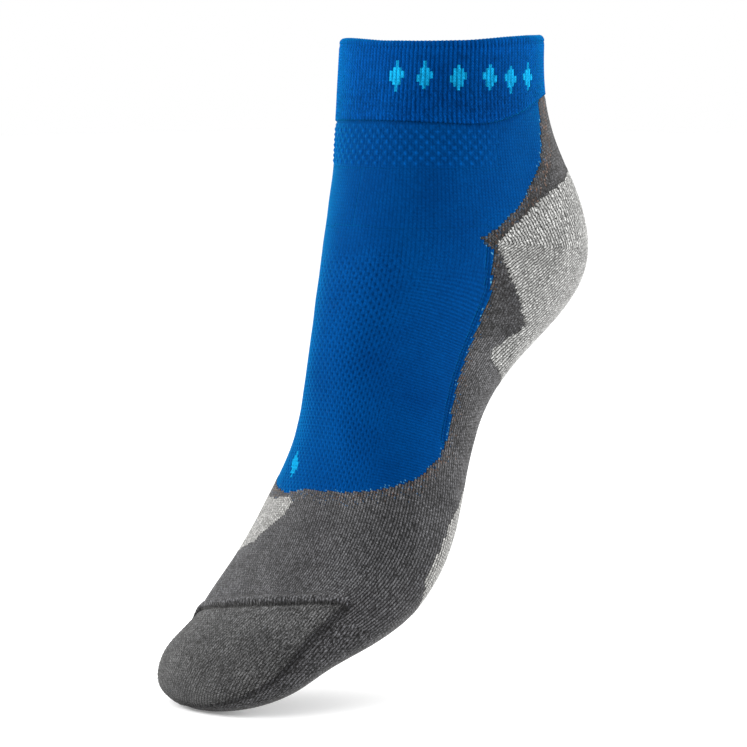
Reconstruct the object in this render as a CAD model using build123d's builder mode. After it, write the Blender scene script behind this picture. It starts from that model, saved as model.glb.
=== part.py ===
"""A low-cut knitted sports sock for the left foot, held in the shape of a pointed foot.

Frame: origin at the middle of the leg opening, +X to the toes, +Y to the outer side, +Z up the leg, mm.
The sock is knitted as one tube. Each knitted zone, inserted thread and seam is a piece of its own.
Zones are cut from the tube by outlines drawn in the side view, as (x, z) points.
"""

import math
import os

from build123d import *

# Fabric
WALL = 1.8
CUFF_LAYER = 0.9
CUFF_WALL = 2.6
LAYER_GAP = 0.8
PLAY = 0.05
BODY_GAP = 0.3
RIDGE = 0.7
SEAM_WIDTH = 1.5

# The tube's sections: front and back point in the side view, half width, sideways shift, and how much
# wider the sole side is than the top side.
SECTIONS = [
    ((35, 0), (-30.5, 0), 34.5, 0, 0),
    ((37, -19), (-32, -18.5), 34.5, 0, 0),
    ((40.5, -42), (-41.5, -37.5), 34.5, 0, 0),
    ((45.5, -62), (-54.5, -56.5), 35, 0, 0),
    ((50.5, -80.5), (-60.5, -77), 33.5, 0, 0),
    ((56, -100), (-45, -97), 30.5, 0, 0.05),
    ((58.5, -119), (-12.5, -118), 29.5, 0, 0.1),
    ((60, -138.5), (10.5, -145.5), 33, 0, 0.15),
    ((65.5, -155.5), (28, -173.5), 39.5, 0, 0.18),
    ((73.5, -171.5), (48.5, -194), 41.5, -1, 0.18),
    ((83, -184), (65, -204), 39, -3, 0.12),
    ((93, -194), (78, -211.5), 33.5, -6, 0.08),
]
SQUARENESS = 2.3
SECTION_POINTS = 16
TOE_TIP = Vector(111, -12.5, -220.5)
TOE_STEPS = (22, 44, 62, 76, 86)

# Where the sock bends with the foot, in the side view
ANKLE = (8, -62)
BALL = (56, -176)
ANKLE_FRONT_UP = 29
ANKLE_FRONT_DOWN = -32
ANKLE_BACK = 159
BALL_TOP_REAR = 56
BALL_TOP_FRONT = 25
BALL_SOLE_REAR = 207
BALL_SOLE_FRONT = 233

# Zone boundaries in the side view
CUFF_EDGE = [(60, -27), (38, -27), (15, -28.5), (0, -25), (-13, -19.5), (-60, -12.5)]
MESH_BAND = [(10, 0), (60, 0), (60, -50), (38, -50), (38, -43.5), (10, -43.5)]
BLUE_EDGE_LEG = [(-13, -10), (-13, -34), (-12, -41), (-7.5, -48), (-0.5, -56), (8.5, -63)]
BLUE_SPIKE = (17, -67)
BLUE_EDGE_SIDE = [(11.5, -71), (11, -85), (14.5, -95), (17.2, -101.5), (23.5, -115), (31.5, -134.5)]
BLUE_EDGE_END = [(40, -140.5), (58, -148), (90, -153)]
HEEL_TOP = [(-12, -54), (4, -63.8), (10.5, -68.5)]
HEEL_FRONT = [(6, -75.5), (-3.5, -89.5), (-8, -98.5), (-1.5, -101.5)]
HEEL_TONGUE = [(8, -105.5), (8, -109), (-10, -128)]
HEEL_GORE = [(10.5, -68.5), (-80, -77.5)]
PLAIN_BAND_BOTTOM = -63
MESH_HALF_WIDTH = 19
EDGE_STEP = (2, 2)
ARCH_END = [(31.5, -134.5), (0, -146)]
SOLE_LINE = [(-10, -112), (2, -122), (16, -141), (34, -169), (60, -192)]
PAD_OUTER = [(20, -152), (29.5, -160), (35.5, -164), (44, -174), (50, -181), (56, -196), (10, -196)]
PAD_SOLE_OUTER = 9
PAD_SOLE_INNER = 24
PAD_VIEW = Plane(origin=(66, 0, -156), x_dir=(0.45, 0, -0.89), z_dir=(0.89, 0, 0.45))
PAD_INNER = [(1, -21), (0, -12), (2, -9), (8, -11.5), (14, -19.5), (19, -24), (30, -60), (-6, -60)]
TOE_GORE = [(40, -148), (76.5, -184.5), (104, -212), (130, -238)]
TOE_SEAM = Plane(origin=(83.5, 0, -186), z_dir=(0.705, 0.218, -0.676))
TOE_CAP_REAR = Plane(origin=(80, 0, -200), z_dir=(0.705, 0.218, -0.676))

# Knitted-in marks
MOTIF_HEIGHT = -12.5
MOTIF_ANGLES = (17, 35, 53, 70, 86, 101)
MOTIF_SIZE = (5.5, 9)
MOTIF_CENTRE = (2, 0)
MOTIF_RADIUS = 35
MARK_DEPTH = 8
SIZE_MARK = Plane(origin=(62.5, -15, -147), x_dir=(0, 1, 0), z_dir=(0.95, 0, 0.31))
SIZE_MARK_SIZE = (4, 7)
ELASTIC_HEIGHTS = (-3.5, -5.5, -7.5, -9.5, -11.5)
ELASTIC_THREAD = 0.8
ELASTIC_INSETS = (1.1, 1.5)
ELASTIC_POINTS = 48
CUFF_FOLD = 1.2

# How far cutting outlines reach: past the sock, across the instep, and over the ball of the foot
REACH = 260
INSTEP_REACH = 100
BALL_REACH = 65

SIDE_VIEW = Plane.XZ


def section_plane(front, back, shift):
    """The plane of a section, through its middle, with its x axis towards the front point."""
    run, rise = front[0] - back[0], front[1] - back[1]
    middle = ((front[0] + back[0]) / 2, shift, (front[1] + back[1]) / 2)
    return Plane(origin=middle, x_dir=(run, 0, rise), z_dir=(-rise, 0, run))


def rounded(half_depth, half_width, widening):
    """The points of a rounded, slightly squared section that is wider on its back or sole side."""
    points = []
    for step in range(SECTION_POINTS):
        turn = 2 * math.pi * step / SECTION_POINTS
        along = math.copysign(abs(math.cos(turn)) ** (2 / SQUARENESS), math.cos(turn))
        across = math.copysign(abs(math.sin(turn)) ** (2 / SQUARENESS), math.sin(turn))
        points.append((half_depth * along, half_width * across * (1 - widening * along)))
    return points


def tube(inset):
    """The whole sock as a solid, with every section smaller by inset all round."""
    with BuildPart() as solid:
        for front, back, half_width, shift, widening in SECTIONS:
            plane = section_plane(front, back, shift)
            half_depth = math.dist(front, back) / 2 - inset
            with BuildSketch(plane):
                with BuildLine():
                    Spline(*rounded(half_depth, half_width - inset, widening), periodic=True)
                make_face()
        tip = TOE_TIP - (TOE_TIP - plane.origin).normalized() * inset
        for degrees in TOE_STEPS:
            reach, size = math.sin(math.radians(degrees)), math.cos(math.radians(degrees))
            cap_plane = Plane(
                origin=plane.origin + (tip - plane.origin) * reach, x_dir=plane.x_dir, z_dir=plane.z_dir
            )
            with BuildSketch(cap_plane):
                with BuildLine():
                    Spline(
                        *rounded(half_depth * size, (half_width - inset) * size**0.9, widening * size),
                        periodic=True,
                    )
                make_face()
        loft()
    return solid.part


def outline_at(solid, height):
    """Points spaced evenly round a solid's section at a height."""
    wire = section(solid, section_by=Plane.XY.offset(height)).faces()[0].outer_wire()
    shares = [step / ELASTIC_POINTS for step in range(ELASTIC_POINTS)]
    return [(point.X, point.Y) for point in wire.positions(shares)]


def ray(pivot, degrees, reach=REACH):
    """The point at a distance from a pivot in the side view, at an angle up from +X."""
    turn = math.radians(degrees)
    return (pivot[0] + reach * math.cos(turn), pivot[1] + reach * math.sin(turn))


def within(outline, view=SIDE_VIEW, mode=Mode.INTERSECT):
    """Keeps, or with Mode.SUBTRACT removes, what lies inside an outline, right across the sock."""
    with BuildSketch(view.offset(-REACH)) as shape:
        with BuildLine():
            Polyline(*outline, close=True)
        make_face()
    extrude(shape.sketch, amount=2 * REACH, mode=mode)


def without(outline, view=SIDE_VIEW):
    """Removes what lies inside an outline."""
    within(outline, view, Mode.SUBTRACT)


def remove(*parts):
    """Removes other pieces' solids."""
    for part in parts:
        add(part, mode=Mode.SUBTRACT)


def outer_side(distance=0):
    """Keeps the outer ankle's side, past a distance from the middle."""
    split(bisect_by=SIDE_VIEW.offset(-distance), keep=Keep.BOTTOM)


def inner_side(distance=0):
    """Keeps the inner ankle's side, past a distance from the middle."""
    split(bisect_by=SIDE_VIEW.offset(distance), keep=Keep.TOP)


def outer_half(part):
    """The solids on the outer ankle's side of a piece that is in two halves."""
    return part.solids().filter_by(lambda solid: solid.center().Y > 0)


def inner_half(part):
    """The solids on the inner ankle's side of a piece that is in two halves."""
    return part.solids().filter_by(lambda solid: solid.center().Y < 0)


def strip(line, step):
    """The outline of a strip between a line and its copy moved by a step."""
    return [*line, *[(x + step[0], z + step[1]) for x, z in reversed(line)]]


def diamond(plane, size, depth):
    """A rhombic prism that stands on a plane, reaching a depth both ways."""
    across, along = size[0] / 2, size[1] / 2
    with BuildPart() as prism:
        with BuildSketch(plane):
            with BuildLine():
                Polyline((across, 0), (0, along), (-across, 0), (0, -along), close=True)
            make_face()
        extrude(amount=depth, both=True)
    return prism.part


def save(part, name):
    """Labels a finished piece and writes its STEP file."""
    part.label = name
    export_step(part, f"parts/{name}.step")


os.makedirs("parts", exist_ok=True)

whole = tube(0)
with BuildPart() as skin:
    add(whole)
    add(tube(WALL), mode=Mode.SUBTRACT)

# The cloth of each moving body, and of the two places that bend
leg_pivot = (ANKLE[0] + BODY_GAP, ANKLE[1] + BODY_GAP * 1.5)
toe_pivot = (BALL[0] + BODY_GAP, BALL[1] - BODY_GAP)
CUFF = [(60, 10), *CUFF_EDGE, (-60, 10)]
LEG = [leg_pivot, ray(leg_pivot, ANKLE_FRONT_UP), (260, 260), (-260, 260), ray(leg_pivot, ANKLE_BACK)]
ANKLE_FRONT = [ANKLE, ray(ANKLE, ANKLE_FRONT_UP), ray(ANKLE, ANKLE_FRONT_DOWN)]
FOOT = [
    ANKLE,
    ray(ANKLE, ANKLE_FRONT_DOWN, INSTEP_REACH),
    ray(BALL, BALL_TOP_REAR, BALL_REACH),
    BALL,
    ray(BALL, BALL_SOLE_REAR),
    (-260, -260),
    ray(ANKLE, ANKLE_BACK),
]
BALL_TOP = [BALL, ray(BALL, BALL_TOP_FRONT), ray(BALL, BALL_TOP_REAR)]
BALL_SOLE = [BALL, ray(BALL, BALL_SOLE_REAR), ray(BALL, BALL_SOLE_FRONT)]
TOES = [toe_pivot, ray(toe_pivot, BALL_TOP_FRONT), (300, -390), ray(toe_pivot, BALL_SOLE_FRONT)]

with BuildPart() as leg_cloth:
    add(skin.part)
    within(LEG)
    without(CUFF)
with BuildPart() as ankle_cloth:
    add(skin.part)
    within(ANKLE_FRONT)
with BuildPart() as foot_cloth:
    add(skin.part)
    within(FOOT)
with BuildPart() as toe_cloth:
    add(skin.part)
    within(TOES)

# Cuff: an outer layer folded over at the top, an inner layer, and elastic threads between the two
inner_face = CUFF_LAYER + LAYER_GAP
with BuildPart() as cuff_pocket:
    add(tube(CUFF_LAYER))
    split(bisect_by=Plane.XY.offset(-CUFF_FOLD), keep=Keep.BOTTOM)
with BuildPart() as cuff_bore:
    add(tube(CUFF_WALL))
with BuildPart() as motif:
    for degrees in MOTIF_ANGLES:
        turn = math.radians(degrees)
        outwards = (math.cos(turn), math.sin(turn), 0)
        front = Plane(
            origin=(MOTIF_CENTRE[0] + MOTIF_RADIUS * outwards[0], MOTIF_RADIUS * outwards[1], MOTIF_HEIGHT),
            x_dir=(-outwards[1], outwards[0], 0),
            z_dir=outwards,
        )
        add(diamond(front, MOTIF_SIZE, MARK_DEPTH))
with BuildPart() as cuff_outer_layer:
    add(whole)
    add(cuff_bore.part, mode=Mode.SUBTRACT)
    within(CUFF)
    add(cuff_pocket.part, mode=Mode.SUBTRACT)
with BuildPart() as cuff_motif:
    add(cuff_outer_layer.part)
    add(motif.part, mode=Mode.INTERSECT)
with BuildPart() as cuff_face:
    add(cuff_outer_layer.part)
    remove(motif.part)
save(cuff_face.part, "cuff_outer_layer")
save(cuff_motif.part, "cuff_motif")

with BuildPart() as cuff_inner_layer:
    add(tube(inner_face))
    add(cuff_bore.part, mode=Mode.SUBTRACT)
    within(CUFF)
    split(bisect_by=Plane.XY.offset(-CUFF_FOLD - PLAY), keep=Keep.BOTTOM)
save(cuff_inner_layer.part, "cuff_inner_layer")

with BuildPart() as between_layers:
    add(tube(CUFF_LAYER + PLAY))
    add(tube(inner_face - PLAY), mode=Mode.SUBTRACT)
    within(CUFF)
thread_faces = [tube(inset) for inset in ELASTIC_INSETS]
with BuildPart() as cuff_elastic_threads:
    for height in ELASTIC_HEIGHTS:
        outside, inside = (outline_at(face, height) for face in thread_faces)
        with BuildSketch(Plane.XY.offset(height)):
            for points, mode in ((outside, Mode.ADD), (inside, Mode.SUBTRACT)):
                with BuildLine():
                    Spline(*points, periodic=True)
                make_face(mode=mode)
        extrude(amount=ELASTIC_THREAD / 2, both=True)
save(cuff_elastic_threads.part, "cuff_elastic_threads")

with BuildPart() as cuff_turning_seam:
    add(between_layers.part)
    within(strip(CUFF_EDGE, (0, ELASTIC_THREAD)))
save(cuff_turning_seam.part, "cuff_turning_seam")

# Leg below the cuff
ACHILLES = [*BLUE_EDGE_LEG, (-90, -90), (-90, -5)]
with BuildPart() as ankle_mesh_band:
    add(leg_cloth.part)
    within(MESH_BAND)
save(ankle_mesh_band.part, "ankle_mesh_band")

with BuildPart() as achilles_strip:
    add(leg_cloth.part)
    within(ACHILLES)
save(achilles_strip.part, "achilles_strip")

with BuildPart() as ankle_sides:
    add(leg_cloth.part)
    without(MESH_BAND)
    without(ACHILLES)
with BuildPart() as ankle_side_outer:
    add(outer_half(ankle_sides.part))
save(ankle_side_outer.part, "ankle_side_outer")
with BuildPart() as ankle_side_inner:
    add(inner_half(ankle_sides.part))
save(ankle_side_inner.part, "ankle_side_inner")

# Front of the ankle, which folds up as the ankle bends
BELOW_BAND = [(-60, PLAIN_BAND_BOTTOM), (120, PLAIN_BAND_BOTTOM), (120, -200), (-60, -200)]
with BuildPart() as ankle_flex_band:
    add(ankle_cloth.part)
    without(BELOW_BAND)
save(ankle_flex_band.part, "ankle_flex_band")

with BuildPart() as below_band:
    add(ankle_cloth.part)
    within(BELOW_BAND)
with BuildPart() as ankle_flex_mesh:
    add(below_band.part)
    outer_side(-MESH_HALF_WIDTH)
    inner_side(-MESH_HALF_WIDTH)
save(ankle_flex_mesh.part, "ankle_flex_mesh")
with BuildPart() as ankle_flex_outer:
    add(below_band.part)
    outer_side(MESH_HALF_WIDTH)
save(ankle_flex_outer.part, "ankle_flex_outer")
with BuildPart() as ankle_flex_inner:
    add(below_band.part)
    inner_side(MESH_HALF_WIDTH)
save(ankle_flex_inner.part, "ankle_flex_inner")

# Blue panel over the instep
BLUE = [BLUE_SPIKE, *BLUE_EDGE_SIDE, *BLUE_EDGE_END, (200, -153), (200, -40), (17, -40)]
EDGE = strip(BLUE_EDGE_SIDE, EDGE_STEP)
size_mark_shape = diamond(SIZE_MARK, SIZE_MARK_SIZE, MARK_DEPTH)
with BuildPart() as blue_cloth:
    add(foot_cloth.part)
    within(BLUE)
with BuildPart() as instep_middle:
    add(blue_cloth.part)
    outer_side(-MESH_HALF_WIDTH)
    inner_side(-MESH_HALF_WIDTH)
with BuildPart() as instep_mesh_panel:
    add(instep_middle.part)
    remove(size_mark_shape)
save(instep_mesh_panel.part, "instep_mesh_panel")
with BuildPart() as size_mark:
    add(instep_middle.part)
    add(size_mark_shape, mode=Mode.INTERSECT)
save(size_mark.part, "size_mark")

with BuildPart() as blue_outer:
    add(blue_cloth.part)
    outer_side(MESH_HALF_WIDTH)
with BuildPart() as side_panel_outer:
    add(blue_outer.part)
    without(EDGE)
save(side_panel_outer.part, "side_panel_outer")
with BuildPart() as panel_edge_outer:
    add(blue_outer.part)
    within(EDGE)
save(panel_edge_outer.part, "panel_edge_outer")

with BuildPart() as blue_inner:
    add(blue_cloth.part)
    inner_side(MESH_HALF_WIDTH)
with BuildPart() as side_panel_inner:
    add(blue_inner.part)
    without(EDGE)
save(side_panel_inner.part, "side_panel_inner")
with BuildPart() as panel_edge_inner:
    add(blue_inner.part)
    within(EDGE)
save(panel_edge_inner.part, "panel_edge_inner")

# Heel
HEEL = [*HEEL_TOP, *HEEL_FRONT, *HEEL_TONGUE, (-120, -160), (-120, 0)]
GUARD = [
    (17, -50),
    BLUE_SPIKE,
    *BLUE_EDGE_SIDE[:4],
    *reversed(HEEL_FRONT),
    *reversed(HEEL_TOP),
    (-12, -50),
]
GORE = [
    (HEEL_GORE[0][0], HEEL_GORE[0][1] + SEAM_WIDTH / 2),
    (HEEL_GORE[0][0], HEEL_GORE[0][1] - SEAM_WIDTH / 2),
    (HEEL_GORE[1][0], HEEL_GORE[1][1] - SEAM_WIDTH / 2),
    (HEEL_GORE[1][0], HEEL_GORE[1][1] + SEAM_WIDTH / 2),
]
ABOVE_GORE = [GORE[0], GORE[3], (-80, 0), (60, 0), (60, GORE[0][1])]
with BuildPart() as heel_cloth:
    add(foot_cloth.part)
    within(HEEL)
with BuildPart() as heel_gores:
    add(heel_cloth.part)
    within(GORE)
with BuildPart() as heel_gore_outer:
    add(heel_gores.part)
    outer_side()
save(heel_gore_outer.part, "heel_gore_outer")
with BuildPart() as heel_gore_inner:
    add(heel_gores.part)
    inner_side()
save(heel_gore_inner.part, "heel_gore_inner")
with BuildPart() as heel_upper:
    add(heel_cloth.part)
    within(ABOVE_GORE)
save(heel_upper.part, "heel_upper")
with BuildPart() as heel_lower:
    add(heel_cloth.part)
    without(ABOVE_GORE)
    without(GORE)
save(heel_lower.part, "heel_lower")

with BuildPart() as side_guards:
    add(foot_cloth.part)
    within(GUARD)
with BuildPart() as side_guard_outer:
    add(outer_half(side_guards.part))
save(side_guard_outer.part, "side_guard_outer")
with BuildPart() as side_guard_inner:
    add(inner_half(side_guards.part))
save(side_guard_inner.part, "side_guard_inner")

# Light pads at the ball of the foot
with BuildPart() as ball_pad_inner:
    add(skin.part)
    within(PAD_INNER, view=PAD_VIEW)
save(ball_pad_inner.part, "ball_pad_inner")
with BuildPart() as pad_cloth:
    add(skin.part)
    within(PAD_OUTER)
    remove(ball_pad_inner.part)
with BuildPart() as ball_pad_outer:
    add(pad_cloth.part)
    outer_side(PAD_SOLE_OUTER)
save(ball_pad_outer.part, "ball_pad_outer")
with BuildPart() as ball_pad_sole:
    add(pad_cloth.part)
    outer_side(-PAD_SOLE_INNER)
    inner_side(-PAD_SOLE_OUTER)
save(ball_pad_sole.part, "ball_pad_sole")
pads = (ball_pad_inner.part, ball_pad_outer.part, ball_pad_sole.part)

# Grey foot
BEHIND_ARCH_END = [ARCH_END[0], ARCH_END[1], (-60, -146), (-60, -60), (31.5, -60)]
SOLE = [*SOLE_LINE, (60, -260), (-60, -260), (-60, -112)]
with BuildPart() as grey_cloth:
    add(foot_cloth.part)
    without(BLUE)
    without(HEEL)
    without(GUARD)
    remove(*pads)
with BuildPart() as arch_band:
    add(grey_cloth.part)
    within(BEHIND_ARCH_END)
save(arch_band.part, "arch_band")
with BuildPart() as forefoot_cloth:
    add(grey_cloth.part)
    without(BEHIND_ARCH_END)
with BuildPart() as forefoot_top:
    add(forefoot_cloth.part)
    without(SOLE)
save(forefoot_top.part, "forefoot_top")
with BuildPart() as forefoot_sole:
    add(forefoot_cloth.part)
    within(SOLE)
save(forefoot_sole.part, "forefoot_sole")

# Where the toes bend
with BuildPart() as toe_flex_top:
    add(skin.part)
    within(BALL_TOP)
    remove(*pads)
save(toe_flex_top.part, "toe_flex_top")
with BuildPart() as toe_flex_sole:
    add(skin.part)
    within(BALL_SOLE)
    remove(*pads)
save(toe_flex_sole.part, "toe_flex_sole")

# Toes
half_seam = SEAM_WIDTH / 2
TOE_TOP = [*TOE_GORE, (260, -238), (260, -40), (40, -40)]
with BuildPart() as toe_gores:
    add(toe_cloth.part)
    within(strip(TOE_GORE, (0, -SEAM_WIDTH)))
    split(bisect_by=TOE_SEAM.offset(half_seam), keep=Keep.TOP)
with BuildPart() as toe_gore_outer:
    add(toe_gores.part)
    outer_side()
save(toe_gore_outer.part, "toe_gore_outer")
with BuildPart() as toe_gore_inner:
    add(toe_gores.part)
    inner_side()
save(toe_gore_inner.part, "toe_gore_inner")

with BuildPart() as toe_top:
    add(toe_cloth.part)
    within(TOE_TOP)
with BuildPart() as toe_cap_top:
    add(toe_top.part)
    split(bisect_by=TOE_SEAM.offset(half_seam), keep=Keep.TOP)
save(toe_cap_top.part, "toe_cap_top")
with BuildPart() as toe_box_top:
    add(toe_top.part)
    split(bisect_by=TOE_SEAM.offset(-half_seam), keep=Keep.BOTTOM)
    remove(*pads)
save(toe_box_top.part, "toe_box_top")

with BuildPart() as toe_seam:
    add(tube(-RIDGE))
    add(tube(WALL), mode=Mode.SUBTRACT)
    within(TOES)
    within(TOE_TOP)
    split(bisect_by=TOE_SEAM.offset(half_seam), keep=Keep.BOTTOM)
    split(bisect_by=TOE_SEAM.offset(-half_seam), keep=Keep.TOP)
save(toe_seam.part, "toe_seam")

with BuildPart() as toe_under:
    add(toe_cloth.part)
    without(TOE_TOP)
    remove(toe_gores.part, *pads)
with BuildPart() as toe_cap_bottom:
    add(toe_under.part)
    split(bisect_by=TOE_CAP_REAR, keep=Keep.TOP)
save(toe_cap_bottom.part, "toe_cap_bottom")
with BuildPart() as toe_box_sole:
    add(toe_under.part)
    split(bisect_by=TOE_CAP_REAR, keep=Keep.BOTTOM)
save(toe_box_sole.part, "toe_box_sole")
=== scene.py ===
"""A low-cut knitted sports sock on an unseen foot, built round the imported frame.

The cloth is one tube through the same sections as the frame's. It is laid out as a grid of stitches,
and each knitted zone is cut from that grid as a piece of its own: a closed shell with an outer face,
an inner face and edges. Sizes are in millimetres until a mesh is written, which is in metres.
"""

import math

import bpy
import numpy as np
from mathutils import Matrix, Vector


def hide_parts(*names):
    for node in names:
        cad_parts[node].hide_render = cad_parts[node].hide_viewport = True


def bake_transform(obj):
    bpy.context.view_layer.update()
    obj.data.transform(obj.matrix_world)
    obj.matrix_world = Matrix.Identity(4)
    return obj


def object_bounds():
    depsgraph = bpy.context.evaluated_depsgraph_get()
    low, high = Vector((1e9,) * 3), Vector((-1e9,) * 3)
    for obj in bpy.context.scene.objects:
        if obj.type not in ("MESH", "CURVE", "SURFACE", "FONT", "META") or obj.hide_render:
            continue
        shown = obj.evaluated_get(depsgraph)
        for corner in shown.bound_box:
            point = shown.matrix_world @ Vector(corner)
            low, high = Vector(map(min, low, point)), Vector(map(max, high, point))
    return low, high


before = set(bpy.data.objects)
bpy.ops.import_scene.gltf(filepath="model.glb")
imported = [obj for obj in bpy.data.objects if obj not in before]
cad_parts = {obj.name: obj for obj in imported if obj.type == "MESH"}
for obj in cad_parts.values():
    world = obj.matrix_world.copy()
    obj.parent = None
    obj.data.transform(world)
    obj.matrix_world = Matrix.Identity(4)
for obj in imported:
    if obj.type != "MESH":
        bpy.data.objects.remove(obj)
cad_low, cad_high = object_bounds()

MM = 0.001

# ---- camera, lamps and floor
CAMERA_AZIMUTH, CAMERA_ELEVATION = 44.6, 6.2
CAMERA_AIM = (25, 0, -111)
CAMERA_TO_LEFT, CAMERA_DOWN = 7.6, 4.0
CAMERA_DISTANCE = 1000
SENSOR, LENS = 36, 138.5
STUDIO_MIDDLE = (0.02, 0, -0.11)
# lamp: how far it is towards the camera, to the right and up, then its size and power
LAMPS = {
    "key": (0.9, -0.6, 0.9, 0.9, 6),
    "right": (-0.1, 1.1, 0.25, 0.7, 14),
    "left": (-0.2, -1.1, 0.3, 0.7, 14),
}
FLOOR_HALF, FLOOR_GAP = 6.0, 0.0006
FLOOR_COLOUR, FLOOR_ROUGHNESS, FLOOR_GLOW = 0.93, 0.9, 0.14

# ---- the tube's sections, as in the frame
# Front and back point in the side view, half width, sideways shift, widening towards the sole.
SECTIONS = [
    ((35, 0), (-30.5, 0), 34.5, 0, 0),
    ((37, -19), (-32, -18.5), 34.5, 0, 0),
    ((40.5, -42), (-41.5, -37.5), 34.5, 0, 0),
    ((45.5, -62), (-54.5, -56.5), 35, 0, 0),
    ((50.5, -80.5), (-60.5, -77), 33.5, 0, 0),
    ((56, -100), (-45, -97), 30.5, 0, 0.05),
    ((58.5, -119), (-12.5, -118), 29.5, 0, 0.1),
    ((60, -138.5), (10.5, -145.5), 33, 0, 0.15),
    ((65.5, -155.5), (28, -173.5), 39.5, 0, 0.18),
    ((73.5, -171.5), (48.5, -194), 41.5, -1, 0.18),
    ((83, -184), (65, -204), 39, -3, 0.12),
    ((93, -194), (78, -211.5), 33.5, -6, 0.08),
]
SQUARENESS = 2.3
RING_SAMPLES = 4001
TOE_TIP = np.array((111, -12.5, -220.5))
TOE_STEPS = (22, 44, 62, 76, 86, 90)
TOE_NARROWING = 0.9
TIP_ROWS = 40
# The rim rises at the outer back and, less, at the inner front. The ranges are along RIM_WAY.
RIM_WAY = (-0.712, 0.702)
RIM_LIFT, RIM_INNER_SHARE = 1.9, 0.4
RIM_OUTER, RIM_INNER = (4, 33), (-22, -35)
RIM_DEPTH = 14

# ---- the stitches
WALES = 192
FINE = 3
ROW = 0.5
ROWS_PER_COURSE = 2
COLUMNS = WALES * FINE
COURSE = ROW * ROWS_PER_COURSE
RIB_COLUMNS = 4
# Rows above EVEN_ROW slide a little, so that the cuff's edge, smoothed over these columns, is one row.
EVEN_ROW = 200
EDGE_SMOOTHING = 18
# Courses of the blue zone tilt down towards the front below the ankle.
COURSE_TILT, COURSE_TILT_HEIGHTS, COURSE_MIDDLE = 0.36, (-62, -105), 50
TOE_WALE_WIDTH = 1.15
# The heel's wales lean away from its gore line, but not at the middle of the back.
HEEL_WALE_WIDTH, HEEL_WALE_SPREAD = 1.7, 0.02
HEEL_LEAN_ABOVE, HEEL_LEAN_BELOW = (11, 18), (14, 12)
HEEL_LEAN_LIMIT, HEEL_LEAN_START, HEEL_BACK_WALES = 32, (0, 34), 6

# ---- where the sock bends, as in the frame
BALL = (56, -176)
BALL_ALONG = (0.643, -0.766)

# ---- zone boundaries in the side view
# They are the frame's, but the lower edge of the blue zone and the two ball pads are up to 5 mm from them.
CUFF_EDGE = [(60, -27), (38, -27), (15, -28.5), (0, -25), (-13, -19.5), (-60, -12.5)]
MESH_BAND_BOTTOM = -43.5
MESH_BAND_BACK = 10
BLUE_EDGE = [
    (-13, -10), (-13, -34), (-12, -41), (-7.5, -48), (-0.5, -56), (8.5, -63), (17, -67),
    (11.5, -71), (11, -85), (14.5, -95), (17.2, -101.5), (23.5, -115), (31.5, -134.5),
    (36, -140), (41, -143.3), (48, -147.2), (56.5, -149.8), (64, -151.8), (90, -154.5),
]
BLUE_TOP = [(200, -154.5), (200, 20), (-13, 20)]
BLUE_DROP, BLUE_DROP_ACROSS, BLUE_DROP_ALONG = 3, (0, -18), (40, 55)
SIDE_EDGE = BLUE_EDGE[7:13]
SIDE_EDGE_WIDTH = 2.6
HEEL_TOP = [(-122.7, -11.8), (-12, -54), (4, -63.8), (10.5, -68.5)]
HEEL_FRONT = [
    (6, -75.5), (-3.5, -89.5), (-8, -98.5), (-1.5, -101.5), (8, -105.5), (8, -109), (-10, -128),
    (-120, -160),
]
HEEL_GORE = [(10.5, -68.5), (-80, -77.5)]
PLAIN_BAND_BOTTOM = -63
MESH_HALF_WIDTH = 19
GUARD_BOTTOM = -101.5
STRIP_BOTTOM = -72
ARCH_END = [(-60, -166), (0, -146), (31.5, -134.5), (60, -124)]
SOLE_LINE = [(-10, -112), (2, -122), (16, -141), (34, -169), (60, -192), (90, -218)]
PAD_OUTER = [
    (22.5, -149.5), (32.4, -157.5), (38.4, -161.5), (46.9, -171.5), (52.9, -178.5), (56, -196), (10, -196),
]
PAD_SOLE_OUTER = 9
PAD_SOLE_INNER = 24
# The inner pad is outlined on the top of the foot: the outline's middle, and its ways down and outward.
PAD_VIEW = ((66, -156), (0.45, -0.89), (0.89, 0.45))
PAD_REACH = -40
PAD_INNER = [
    (-0.5, -21), (-1.4, -12), (0.6, -9), (5.8, -11.5), (11.5, -19.5), (16, -24), (26, -60), (-7, -60),
]
TOE_GORE = [(40, -148), (76.5, -184.5), (104, -212), (130, -238)]
TOE_GORE_WIDTH, TOE_GORE_START = 2.2, 0.7
SEAM_WIDTH = 1.5
SEAM_RIDGE = 3
# The toe seam bows forward over the toes and turns down at the gores.
SEAM_BOW, SEAM_HALF_WIDTH = 3.2, 33
SEAM_TURN, SEAM_TURN_RANGE = 2.5, (1, -3)
TOE_SEAM = ((83.5, 0, -186), (0.705, 0.218, -0.676))
TOE_CAP_REAR = ((80, 0, -200), (0.705, 0.218, -0.676))
MOTIF_HEIGHT = -12.5
MOTIF_ANGLES = (17, 35, 53, 70, 86, 101)
MOTIF_SIZE = (5.5, 9)
MOTIF_CENTRE = (2, 0)
LEG_RADIUS = 34
DIAMOND_MARGIN = 0.3
SIZE_MARK = (59.3, -14.7, -145)
SIZE_MARK_SIZE = (5, 8)

# ---- cloth
CUFF_LAYER = 0.9
CUFF_WALL = 2.6
BLUE_WALL = 1.3
TERRY_WALL = 1.6
SEAM_RADIUS = 0.45
ELASTIC_HEIGHTS = (-3.5, -5.5, -7.5, -9.5, -11.5)
ELASTIC_RADIUS = 0.3
RIM_STEPS = 16
RIM_RIB, INNER_RIB = 0.6, 0.1
THREAD_STEP, EDGE_STEP = 3, 2


# ======== camera, light and floor
def add_object(name, data):
    """A new object in the scene."""
    made = bpy.data.objects.new(name, data)
    bpy.context.scene.collection.objects.link(made)
    return made


def look_along(thing, direction):
    """Turns a camera or a lamp to a direction."""
    thing.rotation_mode = "QUATERNION"
    thing.rotation_quaternion = direction.to_track_quat("-Z", "Y")


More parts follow.
